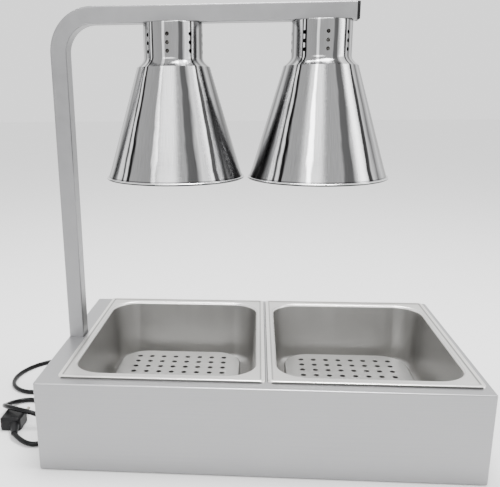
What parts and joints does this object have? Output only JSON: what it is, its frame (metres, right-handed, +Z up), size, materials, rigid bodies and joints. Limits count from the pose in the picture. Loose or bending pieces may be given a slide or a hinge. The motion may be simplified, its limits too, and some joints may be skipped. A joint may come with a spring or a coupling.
{
  "type": "heat_lamp_warmer",
  "caption": "Countertop food warmer: reflector heat lamps hang from a bent square-tube arm over drained steel pans set in a low steel base, with a mains cord.",
  "frame": {"origin": "centre of the sheet-metal base footprint, at the level the rubber feet stand on", "axes": "+X to the right as the user faces it, +Y to the back, +Z up"},
  "size_m": [0.6993, 0.3499, 0.5804],
  "materials": {
    "base_steel": "brushed stainless sheet",
    "arm_steel": "satin square tube",
    "fastener_steel": "plain steel",
    "rubber": "moulded rubber",
    "black_plastic": "moulded black plastic",
    "rocker_plastic": "smooth black plastic",
    "shade_aluminium": "spun and polished",
    "ceramic": "white lamp-holder ceramic",
    "brass": "plain brass",
    "bulb_glass": "blown reflector glass",
    "filament_wire": "drawn wire on a glass stem",
    "pan_steel": "pressed stainless, satin",
    "grate_steel": "pressed stainless, satin",
    "wire_insulation": "sleeved fixture wire",
    "cord_rubber": "black mains cord jacket",
    "cord_tie": "black strap",
    "plug_pin_metal": "plated pin"
  },
  "bodies": {
    "base": {"arm_end_cap": "black_plastic", "base_shell": "base_steel", "bottom_plate": "base_steel", "bottom_screws": "fastener_steel", "cord_coil": "cord_rubber", "cord_lead_in": "cord_rubber", "cord_tie": "cord_tie", "earth_nut": "fastener_steel", "earth_stud": "fastener_steel", "gland_nut": "black_plastic", "lamp_harness": "wire_insulation", "lamp_post": "arm_steel", "left_centre_contact": "brass", "left_locknuts": "fastener_steel", "left_nipple": "fastener_steel", "left_screw_shell": "brass", "left_shade": "shade_aluminium", "left_socket": "ceramic", "plug_pins": "plug_pin_metal", "post_bolts": "fastener_steel", "post_grommet": "rubber", "post_nuts": "fastener_steel", "power_cord": "cord_rubber", "power_plug": "black_plastic", "right_centre_contact": "brass", "right_locknuts": "fastener_steel", "right_nipple": "fastener_steel", "right_screw_shell": "brass", "right_shade": "shade_aluminium", "right_socket": "ceramic", "rubber_feet": "rubber", "strain_relief": "black_plastic", "supply_lead": "wire_insulation", "switch_body": "black_plastic", "switch_leads": "wire_insulation", "terminal_block": "black_plastic", "terminal_screws": "fastener_steel"},
    "left_pan": {"left_pan": "pan_steel"},
    "right_pan": {"right_pan": "pan_steel"},
    "left_grate": {"left_grate": "grate_steel"},
    "right_grate": {"right_grate": "grate_steel"},
    "left_bulb": {"left_bulb": "bulb_glass", "left_bulb_cap": "brass", "left_filament": "filament_wire"},
    "right_bulb": {"right_bulb": "bulb_glass", "right_bulb_cap": "brass", "right_filament": "filament_wire"},
    "switch_rocker": {"switch_rocker": "rocker_plastic"}
  },
  "joints": [
    {"name": "left_pan_lift", "type": "slide", "parent": "base", "child": "left_pan", "axis": [0, 0, 1], "range_m": [0, 0.105]},
    {"name": "left_grate_lift", "type": "slide", "parent": "left_pan", "child": "left_grate", "axis": [0, 0, 1], "range_m": [0, 0.105]},
    {"name": "left_bulb_out", "type": "slide", "parent": "base", "child": "left_bulb", "axis": [0, 0, -1], "range_m": [0, 0.03]},
    {"name": "right_pan_lift", "type": "slide", "parent": "base", "child": "right_pan", "axis": [0, 0, 1], "range_m": [0, 0.105]},
    {"name": "right_grate_lift", "type": "slide", "parent": "right_pan", "child": "right_grate", "axis": [0, 0, 1], "range_m": [0, 0.105]},
    {"name": "right_bulb_out", "type": "slide", "parent": "base", "child": "right_bulb", "axis": [0, 0, -1], "range_m": [0, 0.03]},
    {"name": "switch_rock", "type": "hinge", "parent": "base", "child": "switch_rocker", "pos_m": [-0.2821, 0.062, 0.066], "axis": [0, 1, 0], "range_deg": [-16, 0]}
  ]
}
